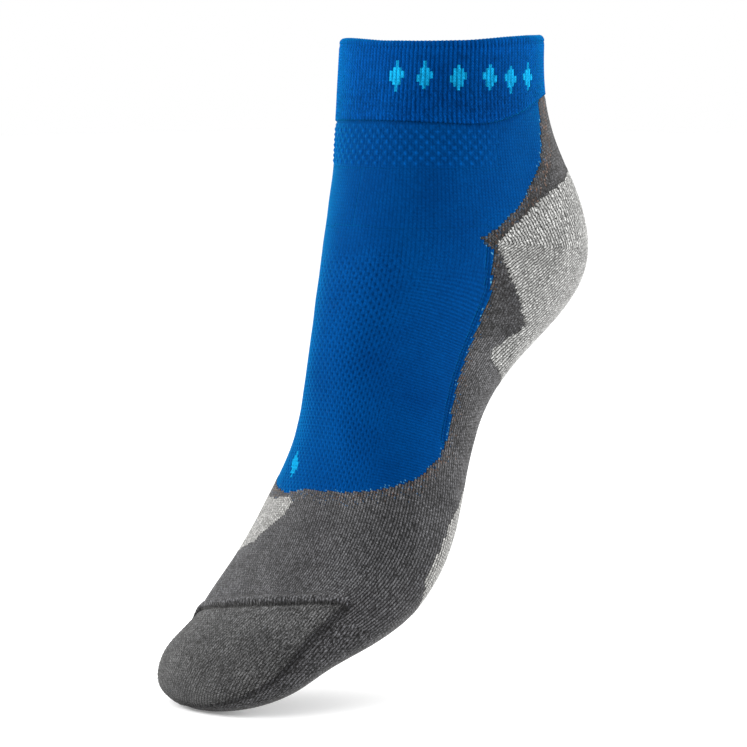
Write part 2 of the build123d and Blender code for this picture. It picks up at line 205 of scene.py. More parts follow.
def make_camera():
    """A long lens level with the leg opening, turned to the outer front of the sock."""
    azimuth, elevation = math.radians(CAMERA_AZIMUTH), math.radians(CAMERA_ELEVATION)
    flat = math.cos(elevation)
    back = np.array((math.sin(azimuth) * flat, math.cos(azimuth) * flat, math.sin(elevation)))
    right = np.array((-math.cos(azimuth), math.sin(azimuth), 0))
    up = np.cross(back, right)
    aim = np.array(CAMERA_AIM) - CAMERA_TO_LEFT * right - CAMERA_DOWN * up
    data = bpy.data.cameras.new("camera")
    data.sensor_width = SENSOR
    data.lens = LENS
    camera = add_object("camera", data)
    camera.location = (aim + CAMERA_DISTANCE * back) * MM
    look_along(camera, Vector(-back))
    bpy.context.scene.camera = camera
    return right, back


def area_light(name, place, aim, size, power):
    """A soft box lamp at a place in metres, turned to a point."""
    data = bpy.data.lights.new(name, "AREA")
    data.shape = "DISK"
    data.size = size
    data.energy = power
    lamp = add_object(name, data)
    lamp.location = place
    look_along(lamp, Vector(aim) - Vector(place))


def make_studio(right, back):
    """A pale floor, a white world and three soft lamps placed round the camera's direction."""
    scene = bpy.context.scene
    scene.view_settings.view_transform = "Standard"
    world = bpy.data.worlds.new("studio")
    world.use_nodes = True
    world.node_tree.nodes["Background"].inputs["Color"].default_value = (1, 1, 1, 1)
    world.node_tree.nodes["Background"].inputs["Strength"].default_value = 1.0
    scene.world = world
    middle = np.array(STUDIO_MIDDLE)
    flat_back = np.array((back[0], back[1], 0))
    for name, (nearer, aside, higher, size, power) in LAMPS.items():
        place = middle + nearer * flat_back + aside * right + np.array((0, 0, higher))
        area_light(name, place, middle, size, power)

    mesh = bpy.data.meshes.new("floor")
    level = float(cad_low[2]) - FLOOR_GAP
    square = ((-1, -1), (1, -1), (1, 1), (-1, 1))
    mesh.from_pydata([(FLOOR_HALF * x, FLOOR_HALF * y, level) for x, y in square], [], [(0, 1, 2, 3)])
    floor = add_object("floor", mesh)
    material = bpy.data.materials.new("floor")
    material.use_nodes = True
    shader = material.node_tree.nodes["Principled BSDF"]
    shader.inputs["Base Color"].default_value = (FLOOR_COLOUR, FLOOR_COLOUR, FLOOR_COLOUR, 1)
    shader.inputs["Roughness"].default_value = FLOOR_ROUGHNESS
    shader.inputs["Emission Color"].default_value = (1, 1, 1, 1)
    shader.inputs["Emission Strength"].default_value = FLOOR_GLOW
    mesh.materials.append(material)


# ======== outlines in the side view
def inside(x, z, outline):
    """Whether points of the side view lie in an outline."""
    found = np.zeros(x.shape, bool)
    for (x0, z0), (x1, z1) in zip(outline, [*outline[1:], outline[0]]):
        if z0 == z1:
            continue
        crosses = (z0 > z) != (z1 > z)
        found ^= crosses & (x < (x1 - x0) * (z - z0) / (z1 - z0) + x0)
    return found


def distance(x, z, line):
    """How far points of the side view are from a line of straight runs."""
    nearest = np.full(x.shape, 1e9)
    for (x0, z0), (x1, z1) in zip(line, line[1:]):
        run, rise = x1 - x0, z1 - z0
        share = np.clip(((x - x0) * run + (z - z0) * rise) / (run**2 + rise**2), 0, 1)
        nearest = np.minimum(nearest, np.hypot(x - x0 - share * run, z - z0 - share * rise))
    return nearest


def height_on(x, line):
    """The height of a line of the side view at each x."""
    ordered = sorted(line)
    return np.interp(x, [p[0] for p in ordered], [p[1] for p in ordered])


def past(x, y, z, plane):
    """How far points are past a plane, along its normal."""
    (x0, y0, z0), (nx, ny, nz) = plane
    return (x - x0) * nx + (y - y0) * ny + (z - z0) * nz


def step(low, high, value):
    """0 below low, 1 above high, smooth between."""
    share = np.clip((value - low) / (high - low), 0, 1)
    return share * share * (3 - 2 * share)


# ======== the tube
def rounded_ring(half_depth, half_width, widening):
    """A squared section's points, evenly spaced along its length from the middle of its back."""
    turn = np.linspace(-math.pi, math.pi, RING_SAMPLES)
    waves = np.cos(turn), np.sin(turn)
    along, across = (np.sign(wave) * np.abs(wave) ** (2 / SQUARENESS) for wave in waves)
    points = np.stack((half_depth * along, half_width * across * (1 - widening * along)), axis=1)
    length = np.concatenate(([0], np.cumsum(np.linalg.norm(np.diff(points, axis=0), axis=1))))
    even = np.linspace(0, length[-1], COLUMNS, endpoint=False)
    return np.stack([np.interp(even, length, points[:, k]) for k in (0, 1)], axis=1)


def placed_ring(centre, along, *sizes):
    """A squared section's points, with its depth along a direction of the side view."""
    flat = rounded_ring(*sizes)
    return centre + flat[:, :1] * along + flat[:, 1:] * np.array((0, 1, 0))


def section_rings():
    """Every section as a ring of points. The toe cap's are the last section's, ever smaller."""
    rings = []
    for front, back, half_width, shift, widening in SECTIONS:
        run, rise = front[0] - back[0], front[1] - back[1]
        depth = math.hypot(run, rise)
        along = np.array((run, 0, rise)) / depth
        origin = np.array(((front[0] + back[0]) / 2, shift, (front[1] + back[1]) / 2))
        rings.append(placed_ring(origin, along, depth / 2, half_width, widening))
    for degrees in TOE_STEPS:
        reach, size = math.sin(math.radians(degrees)), max(math.cos(math.radians(degrees)), 1e-9)
        centre = origin + (TOE_TIP - origin) * reach
        sizes = depth / 2 * size, half_width * size**TOE_NARROWING, widening * size
        rings.append(placed_ring(centre, along, *sizes))
    return np.array(rings)


def spline(knots, values, at):
    """A natural cubic spline through values at the knots, worked out at other places."""
    count, gap = len(knots), np.diff(knots)
    matrix, side = np.eye(count), np.zeros((count, values[0].size))
    flat = values.reshape(count, -1)
    for k in range(1, count - 1):
        matrix[k, k - 1 : k + 2] = gap[k - 1], 2 * (gap[k - 1] + gap[k]), gap[k]
        side[k] = 6 * ((flat[k + 1] - flat[k]) / gap[k] - (flat[k] - flat[k - 1]) / gap[k - 1])
    second = np.linalg.solve(matrix, side)
    k = np.clip(np.searchsorted(knots, at) - 1, 0, count - 2)
    h = gap[k][:, None]
    a, b = (knots[k + 1] - at)[:, None] / h, (at - knots[k])[:, None] / h
    found = a * flat[k] + b * flat[k + 1] + ((a**3 - a) * second[k] + (b**3 - b) * second[k + 1]) * h**2 / 6
    return found.reshape(len(at), *values.shape[1:])


def normals_of(grid):
    """Outward normals of a grid of rows and columns that closes round on itself."""
    round_way = np.roll(grid, -1, axis=1) - np.roll(grid, 1, axis=1)
    down_way = np.gradient(grid, axis=0)
    normal = np.cross(round_way, down_way)
    size = np.linalg.norm(normal, axis=2, keepdims=True)
    tip = TOE_TIP - grid[-TIP_ROWS].mean(axis=0)
    normal = np.where(size > 1e-6, normal / np.maximum(size, 1e-9), tip / np.linalg.norm(tip))
    outward = grid[0] - grid[0].mean(axis=0)
    return normal if (normal[0] * outward).sum() > 0 else -normal


def follow_cuff_edge(skin):
    """Slides points along the tube so that the cuff's lower edge lies on one row of the grid."""
    row, column = np.arange(len(skin), dtype=float), np.arange(COLUMNS)
    above = skin[..., 2] - height_on(skin[..., 0], CUFF_EDGE)
    last = np.argmax(above < 0, axis=0) - 1
    crossing = last + above[last, column] / (above[last, column] - above[last + 1, column])
    near = range(-EDGE_SMOOTHING, EDGE_SMOOTHING + 1)
    crossing = sum(np.roll(crossing, k) for k in near) / len(near)
    cuff_rows = ROWS_PER_COURSE * round(crossing.mean() / ROWS_PER_COURSE)
    evened = (0, FOLD_ROWS, cuff_rows, EVEN_ROW, row[-1])
    slid = np.empty_like(skin)
    for c in column:
        at = np.interp(row, evened, (0, FOLD_ROWS, crossing[c], EVEN_ROW, row[-1]))
        for axis in range(3):
            slid[:, c, axis] = np.interp(at, row, skin[:, c, axis])
    return slid, cuff_rows


def lift_rim(skin):
    """Raises the leg opening a little at its outer back and its inner front."""
    aside = skin[..., 0] * RIM_WAY[0] + skin[..., 1] * RIM_WAY[1]
    lift = RIM_LIFT * (step(*RIM_OUTER, aside) + RIM_INNER_SHARE * step(*RIM_INNER, aside))
    skin[..., 2] += lift * step(-RIM_DEPTH, 0, skin[..., 2])


FOLD_ROWS = round(CUFF_WALL / 2 / ROW)
RINGS = section_rings()
KNOTS = np.concatenate(([0], np.cumsum(np.linalg.norm(np.diff(RINGS, axis=0), axis=2).mean(axis=1))))
ROWS = 2 * round(KNOTS[-1] / ROW / 2)
SKIN, CUFF_ROWS = follow_cuff_edge(spline(KNOTS, RINGS, np.linspace(0, KNOTS[-1], ROWS + 1)))
lift_rim(SKIN)
OUT = normals_of(SKIN)
X, Y, Z = SKIN[..., 0], SKIN[..., 1], SKIN[..., 2]
ROW_NUMBER = np.broadcast_to(np.arange(ROWS + 1)[:, None], X.shape)
COLUMN = np.broadcast_to(np.arange(COLUMNS), X.shape)
ROW_PLACE = ROW_NUMBER * KNOTS[-1] / ROWS
PITCH = np.linalg.norm(np.roll(SKIN, -1, axis=1) - SKIN, axis=2).mean(axis=1, keepdims=True)
FROM_BACK = np.minimum(COLUMN, COLUMNS - COLUMN) * PITCH
FROM_FRONT = (COLUMN - COLUMNS / 2) * PITCH
OFFSET = ROWS * COLUMNS + 1


# ======== zones, one for each stitch
def blue_height(x, y, z):
    """Heights to hold against the blue zone's outline, which lies lower at the inner front."""
    return z + BLUE_DROP * step(*BLUE_DROP_ACROSS, y) * step(*BLUE_DROP_ALONG, x)


def toe_seam(x, y, z):
    """How far points are past the toe seam, which bows forward over the toes and turns down at its ends."""
    bow = SEAM_BOW * np.clip(1 - (y / SEAM_HALF_WIDTH) ** 2, 0, 1)
    return past(x, y, z, TOE_SEAM) - bow - SEAM_TURN * step(*SEAM_TURN_RANGE, z - height_on(x, TOE_GORE))


def diamond(x, y, z, target, size):
    """The stitches of an even diamond, its middle on the stitch that is nearest to a point."""
    away = np.sqrt((x - target[0]) ** 2 + (y - target[1]) ** 2 + (z - target[2]) ** 2)
    row, column = np.unravel_index(np.argmin(away), away.shape)
    across = np.abs(np.arange(x.shape[1]) - column) * PITCH[row * ROWS_PER_COURSE, 0] * FINE
    half_wide, half_tall = (side / 2 + DIAMOND_MARGIN for side in size)
    return across / half_wide + np.abs(z - z[row, column]) / half_tall < 1


def find_zones():
    """Gives each stitch its zone, and returns the zone names and a grid of their numbers."""
    x, y, z, row = (c[1 : ROWS : ROWS_PER_COURSE, FINE // 2 :: FINE] for c in (X, Y, Z, ROW_NUMBER))
    outer = y > 0
    blue = inside(x, blue_height(x, y, z), BLUE_EDGE + BLUE_TOP)
    cuff = row < CUFF_ROWS
    motif = np.zeros(x.shape, bool)
    for degrees in MOTIF_ANGLES:
        turn = math.radians(degrees)
        aside = LEG_RADIUS * math.cos(turn), LEG_RADIUS * math.sin(turn)
        place = (MOTIF_CENTRE[0] + aside[0], MOTIF_CENTRE[1] + aside[1], MOTIF_HEIGHT)
        motif |= diamond(x, y, z, place, MOTIF_SIZE)
    size_mark = diamond(x, y, z, SIZE_MARK, SIZE_MARK_SIZE)
    heel = inside(x, z, HEEL_TOP + HEEL_FRONT)
    gore = np.abs(z - height_on(x, HEEL_GORE)) < SEAM_WIDTH / 2
    above_gore = z > height_on(x, HEEL_GORE)
    above_heel = z > height_on(x, HEEL_TOP)
    (ox, oz), (ax, az), (nx, nz) = PAD_VIEW
    drop, facing = (x - ox) * ax + (z - oz) * az, (x - ox) * nx + (z - oz) * nz
    pad_inner = inside(drop, y, PAD_INNER) & (facing > PAD_REACH)
    pad_under = inside(x, z, PAD_OUTER) & ~pad_inner
    behind_arch_end = z > height_on(x, ARCH_END)
    over_sole = z > height_on(x, SOLE_LINE)
    past_ball = (x - BALL[0]) * BALL_ALONG[0] + (z - BALL[1]) * BALL_ALONG[1] > 0
    seam, cap = toe_seam(x, y, z), past(x, y, z, TOE_CAP_REAR) > 0
    toe_top = z > height_on(x, TOE_GORE)
    toe_gore = ~toe_top & (z > height_on(x, TOE_GORE) - TOE_GORE_WIDTH)
    toe_gore &= past(x, y, z, TOE_SEAM) > TOE_GORE_START
    side_edge = blue & (distance(x, z, SIDE_EDGE) < SIDE_EDGE_WIDTH)
    grey = ~blue & ~cuff & ~heel
    top = toe_top & (seam > -SEAM_RIDGE)

    chosen = [
        ("size_mark", size_mark & blue),
        ("cuff_motif", motif & cuff),
        ("cuff", cuff),
        ("mesh_band", blue & (z > MESH_BAND_BOTTOM) & (x > MESH_BAND_BACK)),
        ("plain_band_outer", blue & (z > PLAIN_BAND_BOTTOM) & outer),
        ("plain_band_inner", blue & (z > PLAIN_BAND_BOTTOM)),
        ("panel_edge_outer", side_edge & outer),
        ("panel_edge_inner", side_edge),
        ("instep_mesh", blue & (np.abs(y) < MESH_HALF_WIDTH)),
        ("side_panel_outer", blue & outer),
        ("side_panel_inner", blue),
        ("heel_gore_outer", heel & gore & outer),
        ("heel_gore_inner", heel & gore),
        ("heel_upper", heel & above_gore),
        ("heel_lower", heel),
        ("achilles_strip", grey & above_heel & (z > STRIP_BOTTOM)),
        ("ball_pad_inner", grey & pad_inner),
        ("ball_pad_outer", grey & pad_under & (y > PAD_SOLE_OUTER)),
        ("ball_pad_sole", grey & pad_under & (y > -PAD_SOLE_INNER)),
        ("side_guard_outer", grey & (z > GUARD_BOTTOM) & outer),
        ("side_guard_inner", grey & (z > GUARD_BOTTOM)),
        ("arch_band", grey & behind_arch_end),
        ("toe_gore_outer", grey & toe_gore & outer),
        ("toe_gore_inner", grey & toe_gore),
        ("toe_seam", grey & top & (seam < SEAM_WIDTH / 4)),
        ("toe_cap_top", grey & top),
        ("toe_cap_bottom", grey & cap & ~toe_top),
        ("toe_box_top", grey & past_ball & toe_top),
        ("toe_box_sole", grey & past_ball),
        ("forefoot_top", grey & over_sole),
        ("forefoot_sole", grey),
    ]
    numbers = np.full(x.shape, -1)
    for number, (_, mask) in enumerate(chosen):
        numbers[(numbers < 0) & mask] = number
    names = [name for name, _ in chosen]
    return names, np.repeat(np.repeat(numbers, ROWS_PER_COURSE, axis=0), FINE, axis=1)


ZONE_NAMES, CELL_ZONE = find_zones()


# ======== stitch coordinates
WALE = COLUMN / FINE
BLUE_COURSE = (-Z + COURSE_TILT * step(*COURSE_TILT_HEIGHTS, Z) * (X - COURSE_MIDDLE)) / COURSE
ROW_COURSE = ROW_PLACE / COURSE
HEEL_GORE_GAP = Z - height_on(X, HEEL_GORE)
TOE_WALE = FROM_FRONT / TOE_WALE_WIDTH
SCATTER = np.random.default_rng(7)


def lattice(across, along, wide, tall):
    """A staggered pattern of round spots: 1 at each spot's middle and 0 between them."""
    return np.clip(np.cos(2 * math.pi * across / wide) * np.cos(math.pi * along / tall), 0, 1) ** 1.3


def uneven(scale, height):
    """A smooth random height over the grid, with lumps about scale cells wide."""
    rows, columns = X.shape[0] // scale + 3, COLUMNS // scale
    rough = SCATTER.normal(size=(rows, columns))
    i = np.arange(X.shape[0]) / scale
    j = np.arange(COLUMNS) / scale
    i0, j0 = i.astype(int), j.astype(int) % columns
    fi, fj = (i % 1)[:, None], (j % 1)[None, :]
    fi, fj = fi * fi * (3 - 2 * fi), fj * fj * (3 - 2 * fj)
    i1, j1 = i0 + 1, (j0 + 1) % columns
    top = rough[np.ix_(i0, j0)] * (1 - fj) + rough[np.ix_(i0, j1)] * fj
    low = rough[np.ix_(i1, j0)] * (1 - fj) + rough[np.ix_(i1, j1)] * fj
    return height * (top * (1 - fi) + low * fi)


def lean(away, most, reach):
    """How far the heel's wales have leant at a distance from the gore line."""
    return most * (1 - np.exp(-away / reach))


ABOVE_GORE, BELOW_GORE = (np.clip(gap, 0, HEEL_LEAN_LIMIT) for gap in (HEEL_GORE_GAP, -HEEL_GORE_GAP))
HEEL_LEAN = lean(ABOVE_GORE, *HEEL_LEAN_ABOVE) + lean(BELOW_GORE, *HEEL_LEAN_BELOW)
HEEL_JITTER = 1 + step(0, 6, HEEL_GORE_GAP)
HEEL_WALE = FROM_BACK + step(*HEEL_LEAN_START, FROM_BACK) * (HEEL_BACK_WALES - HEEL_LEAN)
HEEL_WALE = HEEL_WALE / (HEEL_WALE_WIDTH + HEEL_WALE_SPREAD * BELOW_GORE)
HEEL_WALE += uneven(3, 0.09) * HEEL_JITTER
HEEL_COURSE = ROW_COURSE + uneven(3, 0.16) * HEEL_JITTER


def speckle(strength, run=1):
    """Random lightness about 1 for each point, drawn out along the wales by a run of rows."""
    rough = SCATTER.normal(size=X.shape)
    drawn = sum(np.roll(rough, k, axis=0) for k in range(run)) / math.sqrt(run)
    lightness = np.exp(strength * np.clip(drawn, -2.2, 1.1))
    return lightness / lightness.mean()


def specks(chance, run=1):
    """1 at random points, as often as chance, drawn out along the wales by a run of rows."""
    picked = (SCATTER.random(X.shape) < chance / run).astype(float)
    return np.clip(sum(np.roll(picked, k, axis=0) for k in range(run)), 0, 1)


def ridge(place, middle, width):
    """A smooth ridge across a distance: 1 at its middle, and near 0 beyond its width."""
    return np.exp(-(((place - middle) / width) ** 2))


# ======== relief and lightness
# Relief is in millimetres and lightness is a factor. Places and widths are in millimetres or in rows.
IN_BLUE = inside(X, blue_height(X, Y, Z), BLUE_EDGE + BLUE_TOP)
BLUE_EDGE_GAP = distance(X, blue_height(X, Y, Z), BLUE_EDGE)
SIDE_EDGE_GAP = distance(X, Z, SIDE_EDGE)
SIDE_EDGE_LINES = ridge(SIDE_EDGE_GAP, 1.3, 0.35) + 0.8 * ridge(SIDE_EDGE_GAP, 2.5, 0.35)
SEAM_GAP = toe_seam(X, Y, Z)
TOE_GORE_GAP = Z - height_on(X, TOE_GORE)
ON_TOE_TOP = step(-4, -0.5, TOE_GORE_GAP)
ON_TOE_GORE = step(0, 4, past(X, Y, Z, TOE_SEAM)) * ridge(TOE_GORE_GAP, -1, 2.4)
IN_HEEL = step(14, 2, X) * step(-45, -60, Z)
ON_FRONT = step(27, 13, np.abs(Y)) * (X > 0)
MESH_AMOUNT = ON_FRONT * step(-66, -78, Z)
BAND_AMOUNT = step(7, 17, X) * step(-43.5, -41, Z) * step(-27, -31, Z)
SIDE_AMOUNT = (1 - ON_FRONT) * step(-62, -90, Z)
DOTS = lattice(WALE, BLUE_COURSE, 3, 1.8)
DIMPLES = lattice(WALE, BLUE_COURSE, 2, 1.6)
RIB_SWAY = 0.09 * step(-8, -20, Z) * np.cos(math.pi * ROW_NUMBER / 3)
RIB_WAVE = np.cos(2 * math.pi * (COLUMN / RIB_COLUMNS - 0.5 + RIB_SWAY))
ON_CUFF = ROW_NUMBER <= CUFF_ROWS
GORE_DASH = ROW_PLACE * 3.6


def shared_relief():
    """Relief that runs on from one zone to the next: cuff edge, toe seam, gores and soft unevenness."""
    relief = uneven(48, 0.15) + uneven(20, 0.06)
    relief += 0.28 * ON_CUFF - 0.3 * ridge(ROW_NUMBER, CUFF_ROWS + 1, 1.3) * ~ON_CUFF
    relief -= 0.2 * ridge(ROW_NUMBER, FOLD_ROWS + 1.3, 0.9)
    relief += ON_TOE_TOP * (1.25 * ridge(SEAM_GAP, -1.2, 1.6) - 0.8 * ridge(SEAM_GAP, 1.0, 0.7))
    relief += 0.25 * ON_TOE_GORE * (0.5 + 0.5 * np.cos(GORE_DASH))
    relief -= 0.08 * IN_HEEL * ridge(HEEL_GORE_GAP, 0, 0.8)
    return relief - IN_BLUE * 0.24 * SIDE_EDGE_LINES


def shared_shade():
    """Lightness that runs on in the same way: a painted shadow under the cuff's edge, a painted highlight on
    the toe seam's ridge and painted shade in its crease, the dark ticks below the fold, and the dark of
    gores and doubled lines.
    """
    # Painted shadow: a dark line just under the cuff's lower edge.
    shade = 1 - 0.4 * ridge(ROW_NUMBER, CUFF_ROWS, 1.1) * (ROW_NUMBER >= CUFF_ROWS)
    shade = shade * (1 - 0.45 * ridge(ROW_NUMBER, FOLD_ROWS + 1.3, 0.8) * (COLUMN % RIB_COLUMNS < 2))
    # Painted highlight on the toe seam's ridge and painted shade in the crease under it.
    shade = shade * (1 + ON_TOE_TOP * (0.3 * ridge(SEAM_GAP, -1.2, 0.9) - 0.8 * ridge(SEAM_GAP, 0.7, 0.55)))
    blotch = 0.5 + 0.5 * np.cos(GORE_DASH + 2 * np.sin(WALE))
    shade = shade * (1 - ON_TOE_GORE * (0.1 + 0.42 * blotch))
    shade = shade * (1 - 0.1 * IN_HEEL * ridge(HEEL_GORE_GAP, 0, 0.7))
    return shade * (1 - 0.4 * IN_BLUE * SIDE_EDGE_LINES)


def rib(across, along, height, broken):
    """Ribs along the wales, dented where each stitch ends."""
    wave = np.cos(2 * math.pi * (across - 0.5))
    return height * wave * (1 - broken + broken * np.cos(2 * math.pi * along))


def cloths():
    """Each kind of cloth: its relief, thickness, stitch coordinates, and lightness and specks by point.

    The random draws are in the order in which they are written here.
    """
    relief, shade = shared_relief(), shared_shade()
    none = np.zeros(X.shape)
    near_blue = ridge(BLUE_EDGE_GAP, 0, 2.6) * ~IN_BLUE
    streaks = 0.2 * ridge(BLUE_EDGE_GAP, 4.5, 2.0) * (Z > -62)
    # Painted shade: darker in the gaps between wales, lighter on the wales themselves.
    wale_gap_shade = 1 + 0.3 * np.cos(2 * math.pi * (WALE - 0.5))
    heel_gap_shade = 1 + 0.25 * np.cos(2 * math.pi * (HEEL_WALE - 0.5))
    by_heel = 1 - 0.35 * ridge(distance(X, Z, HEEL_TOP), 0, 2.6)
    # Painted shade: the toe cloth darkens towards its tip, which faces down and away from the light.
    tip_painted_shade = 1 - 0.2 * step(88, 106, X)

    def cloth(own_relief, wall, across, along, own_shade, brown=none, pale=none, rows=none):
        fields = {"shade": own_shade * shade, "brown": brown, "pale": pale, "rows": rows}
        whole = relief + own_relief
        return {"relief": whole, "wall": wall, "across": across, "along": along, "fields": fields}

    blue_relief = (
        rib(WALE, BLUE_COURSE, 0.04, 0.3)
        + 0.45 * BAND_AMOUNT * DOTS
        - 0.28 * MESH_AMOUNT * DIMPLES
        + 0.05 * SIDE_AMOUNT * np.cos(2 * math.pi * BLUE_COURSE)
    )
    # Painted highlight on the band's raised dots and painted shade in the mesh's sunken dimples.
    dots_and_dimples_painted_light = 1 + 0.75 * BAND_AMOUNT * (DOTS - 0.1) - 0.6 * MESH_AMOUNT * (DIMPLES - 0.27)
    blue_shade = speckle(0.12) * dots_and_dimples_painted_light
    blue_edge = specks(0.11 * ridge(BLUE_EDGE_GAP, 0, 0.6))
    grey_relief = 0.12 + rib(WALE, ROW_COURSE, 0.12, 0.3)
    grey_brown = specks(0.16 * near_blue)
    grey_pale = specks(0.12 * near_blue)
    broken = 1 - 0.3 * step(-8, -18, Z) * (SCATTER.random(X.shape) < 0.3)
    marked = step(-2, -6, Z) * step(-28, -22, Z) * ridge(np.degrees(np.arctan2(Y, X)), 60, 55)
    # The rib wave paints a highlight on the rib tops and shade in the grooves between them.
    cuff_shade = speckle(0.16, 2) * (1 + 0.15 * RIB_WAVE) * broken * (1.3 - 0.25 * marked)
    grey_shade = speckle(0.75) * wale_gap_shade
    strip_shade, strip_brown = speckle(1.1) * by_heel, specks(0.12 * near_blue + streaks, 2)
    heel_relief, heel_shade = 0.22 + rib(HEEL_WALE, HEEL_COURSE, 0.15, 0.4), speckle(0.6) * heel_gap_shade
    pad_relief, pad_shade = 0.2 + rib(WALE, ROW_COURSE, 0.14, 0.4), speckle(0.55)
    toe_relief, toe_shade = 0.12 + rib(TOE_WALE, ROW_COURSE, 0.07, 0.4), speckle(1.05) * tip_painted_shade
    side_rows = 0.8 * SIDE_AMOUNT
    return {
        "cuff": cloth(0.12 * RIB_WAVE, CUFF_LAYER, COLUMN / RIB_COLUMNS, -Z / COURSE, cuff_shade),
        "blue": cloth(blue_relief, BLUE_WALL, WALE, BLUE_COURSE, blue_shade, pale=blue_edge, rows=side_rows),
        "grey": cloth(grey_relief, TERRY_WALL, WALE, ROW_COURSE, grey_shade, grey_brown, grey_pale),
        "strip": cloth(grey_relief, TERRY_WALL, WALE, ROW_COURSE, strip_shade, strip_brown, grey_pale),
        "heel": cloth(heel_relief, TERRY_WALL, HEEL_WALE, HEEL_COURSE, heel_shade),
        "pad": cloth(pad_relief, TERRY_WALL, WALE, ROW_COURSE, pad_shade),
        "toe": cloth(toe_relief, TERRY_WALL, TOE_WALE, ROW_COURSE, toe_shade),
    }


# ======== meshes
def shell(cells, relief, wall, across, along, fields):
    """A closed piece of cloth over the chosen cells: its points, faces, stitch coordinates and fields."""
    rows, columns = np.nonzero(cells)
    right = (columns + 1) % COLUMNS
    outer = SKIN + OUT * relief[..., None]
    inner = SKIN - OUT * (wall[..., None] if isinstance(wall, np.ndarray) else wall)
    around = ((rows, columns), (rows, right), (rows + 1, right), (rows + 1, columns))
    corners = np.stack([np.where(r == ROWS, ROWS * COLUMNS, r * COLUMNS + c) for r, c in around], axis=1)
    uv_columns = np.stack([columns, columns + 1, columns + 1, columns], axis=1)
    uv_rows = np.stack([rows, rows, rows + 1, rows + 1], axis=1)
    wrap = np.maximum(uv_columns - (COLUMNS - 1), 0)
    at_column = np.minimum(uv_columns, COLUMNS - 1)
    u = across[uv_rows, at_column] + wrap * (across[uv_rows, at_column] - across[uv_rows, at_column - 1])
    v = along[uv_rows, uv_columns % COLUMNS]

    walls, wall_uv = [], []
    for side, (dr, dc) in enumerate(((-1, 0), (0, 1), (1, 0), (0, -1))):
        r, c = rows + dr, (columns + dc) % COLUMNS
        open_side = (r < 0) | ((r < ROWS) & ~cells[np.clip(r, 0, ROWS - 1), c])
        if side == 2:
            open_side &= r < ROWS
        a, b = corners[open_side, side], corners[open_side, (side + 1) % 4]
        walls.append(np.stack([b, a, a + OFFSET, b + OFFSET], axis=1))
        ua, ub = u[open_side, side], u[open_side, (side + 1) % 4]
        va, vb = v[open_side, side], v[open_side, (side + 1) % 4]
        wall_uv.append(np.stack([np.stack([ub, ua, ua, ub], 1), np.stack([vb, va, va, vb], 1)], axis=2))
    walls = np.concatenate(walls)
    faces = np.concatenate([corners, corners[:, ::-1] + OFFSET, walls])
    face_uv = np.concatenate([np.stack([u, v], 2), np.stack([u, v], 2)[:, ::-1], *wall_uv])
    flat = np.zeros(len(faces), bool)
    flat[2 * len(corners) :] = True

    used, faces = np.unique(faces, return_inverse=True)
    faces = faces.reshape(-1, 4)
    points = np.concatenate([outer.reshape(-1, 3)[:OFFSET], inner.reshape(-1, 3)[:OFFSET]])[used]
    chosen = {key: field.reshape(-1)[used % OFFSET] for key, field in fields.items()}
    return points, faces, face_uv, flat, chosen


def write_piece(name, parts):
    """Writes one or more parts, in millimetres, as a Blender mesh. A repeated corner makes a triangle."""
    points, face_uv, flat = (np.concatenate([part[k] for part in parts]) for k in (0, 2, 3))
    first = np.cumsum([0, *(len(part[0]) for part in parts)])
    faces = np.concatenate([part[1] + start for part, start in zip(parts, first)])
    keep = faces != np.roll(faces, -1, axis=1)
    starts = np.concatenate(([0], np.cumsum(keep.sum(axis=1))[:-1]))

    mesh = bpy.data.meshes.new(name)
    mesh.vertices.add(len(points))
    mesh.vertices.foreach_set("co", (points * MM).astype(np.float32).ravel())
    mesh.loops.add(int(keep.sum()))
    mesh.loops.foreach_set("vertex_index", faces[keep].astype(np.int32))
    mesh.polygons.add(len(faces))
    mesh.polygons.foreach_set("loop_start", starts.astype(np.int32))
    mesh.update(calc_edges=True)
    layer = mesh.uv_layers.new(name="Knit")
    layer.data.foreach_set("uv", face_uv[keep].astype(np.float32).ravel())
    sharp = mesh.attributes.new("sharp_face", "BOOLEAN", "FACE")
    sharp.data.foreach_set("value", flat)
    for key in parts[0][-1]:
        values = np.concatenate([part[-1][key] for part in parts])
        attribute = mesh.attributes.new(key, "FLOAT", "POINT")
        attribute.data.foreach_set("value", values.astype(np.float32))
    mesh.validate()
    return add_object(name, mesh)


# ======== materials
# A stitch is two legs that meet in a V. Each leg is rounded across and dips where the next stitch starts.
LEG_ROUNDNESS, LEG_LEAN = 0.62, 0.8
STITCH_DIP, STITCH_FLOOR = 0.55, 0.45
FIBRE_SCALE, FIBRES_ACROSS, CLOUD_SCALE, FUZZ_SCALE = 2.2, 4.0, 60.0, 1900.0
FIBRE_DETAIL, FIBRE_ROUGHNESS = 3.0, 0.65
FIBRE_SHARE, CLOUD_SHARE, FUZZ_HEIGHT = 0.75, 0.25, 0.22
DARK_AT, LIGHT_AT = 0.36, 0.64
SPECK_EDGE, FIBRE_SPAN, ROUGHNESS_SPAN = (0.25, 0.6), (0.3, 0.7), (0.78, 0.92)
BUMP_STRENGTH, SHEEN_ROUGHNESS = 0.75, 0.35


